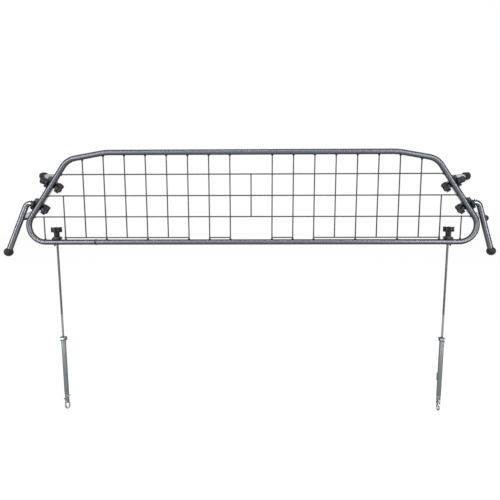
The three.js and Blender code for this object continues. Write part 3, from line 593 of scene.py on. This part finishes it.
def buildStruts():
    footSample, capSample = buildFoot(), buildCap()
    top, bottom = math.radians(strut["topTurn"]), math.radians(strut["bottomTurn"])
    topLeg, bottomLeg = Vector((math.sin(top), 0, math.cos(top))), Vector((math.sin(bottom), 0, -math.cos(bottom)))
    topRun = strut["topReach"] / math.sin(top)
    upper, lower = Vector((0, 0, -strut["topAt"])), Vector((0, 0, -strut["bottomAt"]))
    corners = [upper + topLeg * topRun, upper, lower, lower + bottomLeg * strut["bottomRun"]]
    footAt = upper + topLeg * (topRun + strut["spare"] - strutFoot["depth"])
    capAt = lower + bottomLeg * (strut["bottomRun"] + strut["spare"] - strutCap["depth"])
    for sideName, side in bothSides:
        body = sideName + "_strut"
        place = (sidePlace(side, 0) @ shift(clamps["strutOffset"], clamps["strutAt"], -strut["drop"][sideName])
                 @ spin(strut["swing"][sideName], "Z"))
        bends = [strut["topBend"], strut["bottomBend"]]
        tube = growTube(strut["radius"], strut["sides"], corners, bends, strut["steps"])
        openTube(tube, strut["radius"], strut["wall"], corners)
        tube.matrix_world = place
        bakePlace(tube)
        outwardFaces(tube)
        finishPiece(tube, sideName + "Strut", body, [body], "brightZinc", "round")
        foot = copyOf(footSample, place @ shift(*footAt) @ spin(strut["topTurn"], "Y"))
        finishPiece(foot, sideName + "StrutFoot", body, [body + "_foot"], "blackRubber", "round")
        cap = copyOf(capSample, place @ shift(*capAt) @ spin(180 - strut["bottomTurn"], "Y"))
        finishPiece(cap, sideName + "StrutCap", body, [body + "_cap"], "blackRubber", "round")
    for sample in (footSample, capSample):
        bpy.data.objects.remove(sample)


def buildArms():
    ballSample = buildBall()
    turn = math.radians(bentArm["turn"])
    vertex = Vector((clamps["bossLength"] + bentArm["lead"] + bentArm["bend"] * math.tan(turn / 2), 0, 0))
    end = vertex + Vector((math.cos(turn), 0, -math.sin(turn))) * bentArm["length"]
    corners = [Vector((bentArm["start"], 0, 0)), vertex, end]
    for sideName, side in bothSides:
        body = sideName + "_arm"
        place = (sidePlace(side, clamps["lowerAt"]) @ shift(clamps["socketStart"], 0, 0)
                 @ spin(clamps["socketTilt"], "Y") @ spin(bentArm["swing"][sideName], "X"))
        tube = growTube(bentArm["radius"], bentArm["sides"], corners, [bentArm["bend"]], bentArm["steps"])
        openTube(tube, bentArm["radius"], bentArm["wall"], corners)
        tube.matrix_world = place
        bakePlace(tube)
        outwardFaces(tube)
        finishPiece(tube, sideName + "Arm", body, [body], "armPaint", "round")
        dressPacked(body + "_screw", sideName + "ArmScrew", body, "brightZinc", bentArm["screwEdge"])
        ball = copyOf(ballSample, place @ shift(*end) @ spin(90 + bentArm["turn"], "Y"))
        finishPiece(ball, sideName + "ArmBall", body, [body + "_ball"], "blackRubber", "round")
    bpy.data.objects.remove(ballSample)


buildStruts()
buildArms()
print("struts and arms built")


# hold-down rods

holdDown = {"at": 470.75, "rodRadius": 2.5, "rodTop": 29.25, "rodBottom": -262, "rodSides": 24,
            "rodEdge": (0.4, 2, 35), "saddleEdge": 0.6, "knobStart": 13.55, "turn": {"left": 0, "right": 90},
            "knob": {"headRadius": 12.3, "headLength": 11, "hubRadius": 6.4, "hubLength": 10.7}}
hangingParts = (  # node, body, finish, slot, edge width, faces merged below this angle
    ("tension_tube", "tensioner", "dullZinc", "dull_zinc", 0.2, 0.5),
    ("tension_bracket", "tensioner", "dullZinc", "dull_zinc", 0.5, 1.0),
    ("tension_nut", "tension_nut", "brightZinc", "bright_zinc", 0.3, 1.0),
    ("clevis", "clevis", "dullZinc", "dull_zinc", 0.3, 1.0),
    ("lock_bar", "clevis", "hookZinc", "bright_zinc", 0.3, 1.0),
    ("hook_pin", "clevis", "hookZinc", "bright_zinc", 0.3, 1.0),
    ("hook", "hook", "hookZinc", "dull_zinc", 0.3, 1.0),
    ("hook_gate", "gate", "hookZinc", "bright_zinc", 0.3, 1.0))


def buildHoldDowns():
    sample = buildKnob(**holdDown["knob"])
    for sideName, side in bothSides:
        unit = shift(side * holdDown["at"], 0, 0) @ spin(holdDown["turn"][sideName], "Z")
        knobPlace = shift(side * holdDown["at"], 0, holdDown["knobStart"])
        knob = copyOf(sample, knobPlace @ spin(starKnob["turn"], "Z"))
        finishPiece(knob, sideName + "HandKnob", sideName + "_hand_knob", [sideName + "_hand_knob"],
                    "blackPlastic", "crisp")
        dressPacked(sideName + "_rail_saddle", sideName + "RailSaddle", "frame", "blackPlastic",
                    holdDown["saddleEdge"])
        ends = (0, 0, holdDown["rodBottom"]), (0, 0, holdDown["rodTop"])
        rod = addCylinder(holdDown["rodRadius"], *ends, holdDown["rodSides"])
        roundEdges(rod, *holdDown["rodEdge"])
        rod.matrix_world = unit @ rod.matrix_world
        finishPiece(rod, sideName + "Rod", sideName + "_rod", [sideName + "_rod"], "threadedSteel", "round")
        for part, body, finish, slotName, width, limit in hangingParts:
            name = sideName + part.title().replace("_", "")
            dressPacked(f"{sideName}_{part}", name, f"{sideName}_{body}", finish, width, limit)
    bpy.data.objects.remove(sample)


buildHoldDowns()
print("hold-downs built")


# camera, floor and light

camera = {"lens": 27.36, "sensor": 36, "nearest": 0.01, "place": (0.00981, -0.91201, 0.09031),
          "yaw": 0.795, "pitch": 6.871, "roll": -0.136}


def placeCamera():
    yaw, pitch, roll = (math.radians(camera[k]) for k in ("yaw", "pitch", "roll"))
    forward = Vector((-math.sin(yaw) * math.cos(pitch), math.cos(yaw) * math.cos(pitch), -math.sin(pitch)))
    level = Vector((math.cos(yaw), math.sin(yaw), 0))
    above = level.cross(forward)
    right = math.cos(roll) * level + math.sin(roll) * above
    up = -math.sin(roll) * level + math.cos(roll) * above
    turned = Matrix((right, up, -forward)).transposed().to_4x4()
    data = bpy.data.cameras.new("photoCamera")
    data.lens = camera["lens"]
    data.sensor_width = camera["sensor"]
    data.clip_start = camera["nearest"]
    photoCamera = bpy.data.objects.new("photoCamera", data)
    bpy.context.scene.collection.objects.link(photoCamera)
    photoCamera.matrix_world = Matrix.Translation(camera["place"]) @ turned
    bpy.context.scene.camera = photoCamera


studio = {"floorAt": -0.4285, "floorSize": 12, "floorShare": 0.86, "worldShare": 1.0, "world": 0.9,
          "floorColour": (0.94, 0.94, 0.94), "floorRoughness": 0.9, "white": (1, 1, 1, 1),
          "lamps": (("topLamp", (0, -1.3, 1.8), (0, 0, 0.1), (2.8, 0.32), 36),
                    ("leftStrip", (-1.45, -1.65, 0.2), (-0.55, 0, -0.05), (0.3, 2.0), 42),
                    ("rightStrip", (1.45, -1.65, 0.2), (0.55, 0, -0.05), (0.3, 2.0), 42),
                    ("frontLamp", (-0.6, -2.6, 0.9), (0, 0, 0), (1.2, 0.8), 6))}


def whiteWhenSeen(nodes, links, lit, share):  # seen straight, in metal or through glass
    path = nodes.new("ShaderNodeLightPath")
    seen = nodes.new("ShaderNodeMath")
    seen.operation = "ADD"
    wide = nodes.new("ShaderNodeMath")
    wide.operation = "ADD"
    wide.use_clamp = True
    scaled = nodes.new("ShaderNodeMath")
    scaled.operation = "MULTIPLY"
    scaled.inputs[1].default_value = share
    mix = nodes.new("ShaderNodeMixShader")
    links.new(path.outputs["Is Camera Ray"], seen.inputs[0])
    links.new(path.outputs["Is Glossy Ray"], seen.inputs[1])
    links.new(seen.outputs["Value"], wide.inputs[0])
    links.new(path.outputs["Is Transmission Ray"], wide.inputs[1])
    links.new(wide.outputs["Value"], scaled.inputs[0])
    links.new(scaled.outputs["Value"], mix.inputs["Fac"])
    links.new(lit, mix.inputs[1])
    return mix


def buildStudio():
    clearSelection()
    bpy.ops.mesh.primitive_plane_add(size=studio["floorSize"], location=(0, 0, studio["floorAt"]))
    floor = bpy.context.object
    bakePlace(floor)
    floor.name = "floor"
    paint = bpy.data.materials.new("floorPaint")
    paint.use_nodes = True
    nodes, links = paint.node_tree.nodes, paint.node_tree.links
    shader = nodes["Principled BSDF"]
    shader.inputs["Base Color"].default_value = (*studio["floorColour"], 1)
    shader.inputs["Roughness"].default_value = studio["floorRoughness"]
    glow = nodes.new("ShaderNodeEmission")
    mix = whiteWhenSeen(nodes, links, shader.outputs["BSDF"], studio["floorShare"])
    links.new(glow.outputs["Emission"], mix.inputs[2])
    links.new(mix.outputs["Shader"], nodes["Material Output"].inputs["Surface"])
    floor.data.materials.append(paint)
    world = bpy.data.worlds.new("studioWorld")
    bpy.context.scene.world = world
    world.use_nodes = True
    nodes, links = world.node_tree.nodes, world.node_tree.links
    lit = nodes["Background"]
    lit.inputs["Color"].default_value = studio["white"]
    lit.inputs["Strength"].default_value = studio["world"]
    seen = nodes.new("ShaderNodeBackground")
    seen.inputs["Color"].default_value = studio["white"]
    mix = whiteWhenSeen(nodes, links, lit.outputs["Background"], studio["worldShare"])
    links.new(seen.outputs["Background"], mix.inputs[2])
    links.new(mix.outputs["Shader"], nodes["World Output"].inputs["Surface"])
    for name, place, aim, size, power in studio["lamps"]:
        data = bpy.data.lights.new(name, "AREA")
        data.shape = "RECTANGLE"
        data.size, data.size_y = size
        data.energy = power
        lamp = bpy.data.objects.new(name, data)
        bpy.context.scene.collection.objects.link(lamp)
        lamp.location = place
        lamp.rotation_euler = (Vector(aim) - Vector(place)).to_track_quat("-Z", "Y").to_euler()
    bpy.context.scene.view_settings.view_transform = "Standard"


placeCamera()
buildStudio()
print("studio built")
